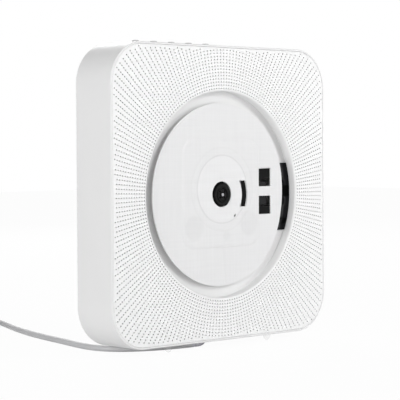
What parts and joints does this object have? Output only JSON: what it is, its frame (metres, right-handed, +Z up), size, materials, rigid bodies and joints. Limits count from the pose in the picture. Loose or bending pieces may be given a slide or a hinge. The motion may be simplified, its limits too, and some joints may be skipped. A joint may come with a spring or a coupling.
{
  "type": "wall mounted disc player",
  "caption": "Slim square wall player with perforated front, round disc recess with spinning hub, top push buttons, hooked wall bracket and grey power cord.",
  "frame": {"origin": "centre of the housing's footprint, on the surface its feet stand on", "axes": "+X to the right seen from the front, -Y out of the front face, +Z up"},
  "size_m": [0.193, 0.2866, 0.1994],
  "materials": {
    "housing_white": "fine matte moulded plastic, warm white",
    "panel_white": "matte white moulded plastic",
    "window_black": "glossy black window",
    "paper_white": "uncoated pale card",
    "hub_black": "satin black moulded plastic",
    "mechanism_black": "black moulded plastic",
    "steel_bright": "ground steel",
    "steel_plated": "zinc plated steel",
    "motor_can": "drawn steel can",
    "damper_rubber": "soft rubber",
    "lens_clear": "clear lens",
    "board_green": "solder-masked board",
    "chip_black": "moulded component",
    "speaker_steel": "painted steel basket",
    "speaker_paper": "pressed paper cone",
    "magnet_grey": "sintered magnet",
    "button_white": "satin moulded plastic",
    "foot_clear": "soft pale rubber",
    "cord_grey": "grey cord sheath",
    "gland_grey": "grey moulded gland",
    "plug_grey": "grey overmould",
    "plug_steel": "plated plug shell"
  },
  "bodies": {
    "housing": {"side_shell": "housing_white", "front_panel": "panel_white", "disc_well": "panel_white", "display_window": "window_black", "display_board": "board_green", "spindle_motor": "motor_can", "drive_chassis": "mechanism_black", "dampers": "damper_rubber", "damper_caps": "mechanism_black", "guide_rods": "steel_bright", "screw_motor": "motor_can", "floor_screws": "steel_plated", "button_board": "board_green", "button_switches": "chip_black", "button_board_screws": "steel_plated", "main_board": "board_green", "board_chips": "chip_black", "board_capacitors": "chip_black", "board_screws": "steel_plated", "socket_board": "board_green", "socket_screws": "steel_plated", "audio_jack": "chip_black", "usb_socket": "plug_steel", "rear_cover": "housing_white", "cover_screws": "steel_plated", "feet": "foot_clear", "cord_gland": "gland_grey", "power_cord": "cord_grey", "cord_coil": "cord_grey", "cord_tail": "cord_grey", "cord_tie": "chip_black", "plug_body": "plug_grey", "plug_shell": "plug_steel", "speaker_frame_left": "speaker_steel", "speaker_cone_left": "speaker_paper", "speaker_magnet_left": "magnet_grey", "speaker_frame_right": "speaker_steel", "speaker_cone_right": "speaker_paper", "speaker_magnet_right": "magnet_grey"},
    "turntable": {"turntable": "hub_black", "hub_balls": "steel_bright", "spindle_shaft": "steel_bright"},
    "paper": {"paper_disc": "paper_white"},
    "sled": {"pickup_sled": "mechanism_black", "pickup_lens": "lens_clear"},
    "screw": {"lead_screw": "steel_bright"},
    "bracket": {"wall_bracket": "steel_plated"},
    "button_1": {"top_button_1": "button_white"},
    "button_2": {"top_button_2": "button_white"},
    "button_3": {"top_button_3": "button_white"},
    "button_4": {"top_button_4": "button_white"},
    "button_5": {"top_button_5": "button_white"}
  },
  "joints": [
    {"name": "turntable_spin", "type": "hinge", "parent": "housing", "child": "turntable", "pos_m": [0, -0.0118, 0.1], "axis": [0, -1, 0], "continuous": true},
    {"name": "paper_lift", "type": "slide", "parent": "housing", "child": "paper", "axis": [0, -1, 0], "range_m": [0, 0.04]},
    {"name": "sled_slide", "type": "slide", "parent": "housing", "child": "sled", "axis": [1, 0, 0], "range_m": [-0.018, 0.015]},
    {"name": "lead_screw_spin", "type": "hinge", "parent": "housing", "child": "screw", "pos_m": [0.04, -0.00155, 0.0755], "axis": [1, 0, 0], "range_deg": [-2200, 1850]},
    {"name": "bracket_unhook", "type": "slide", "parent": "housing", "child": "bracket", "axis": [0, 0, -1], "range_m": [0, 0.007]},
    {"name": "button_1_press", "type": "slide", "parent": "housing", "child": "button_1", "axis": [0, 0, -1], "range_m": [0, 0.0009], "stiffness_N_per_m": 900},
    {"name": "button_2_press", "type": "slide", "parent": "housing", "child": "button_2", "axis": [0, 0, -1], "range_m": [0, 0.0009], "stiffness_N_per_m": 900},
    {"name": "button_3_press", "type": "slide", "parent": "housing", "child": "button_3", "axis": [0, 0, -1], "range_m": [0, 0.0009], "stiffness_N_per_m": 900},
    {"name": "button_4_press", "type": "slide", "parent": "housing", "child": "button_4", "axis": [0, 0, -1], "range_m": [0, 0.0009], "stiffness_N_per_m": 900},
    {"name": "button_5_press", "type": "slide", "parent": "housing", "child": "button_5", "axis": [0, 0, -1], "range_m": [0, 0.0009], "stiffness_N_per_m": 900}
  ],
  "couplings": [
    {"joint": "lead_screw_spin", "follows": "sled_slide", "rad_per_m": 2094.4}
  ]
}
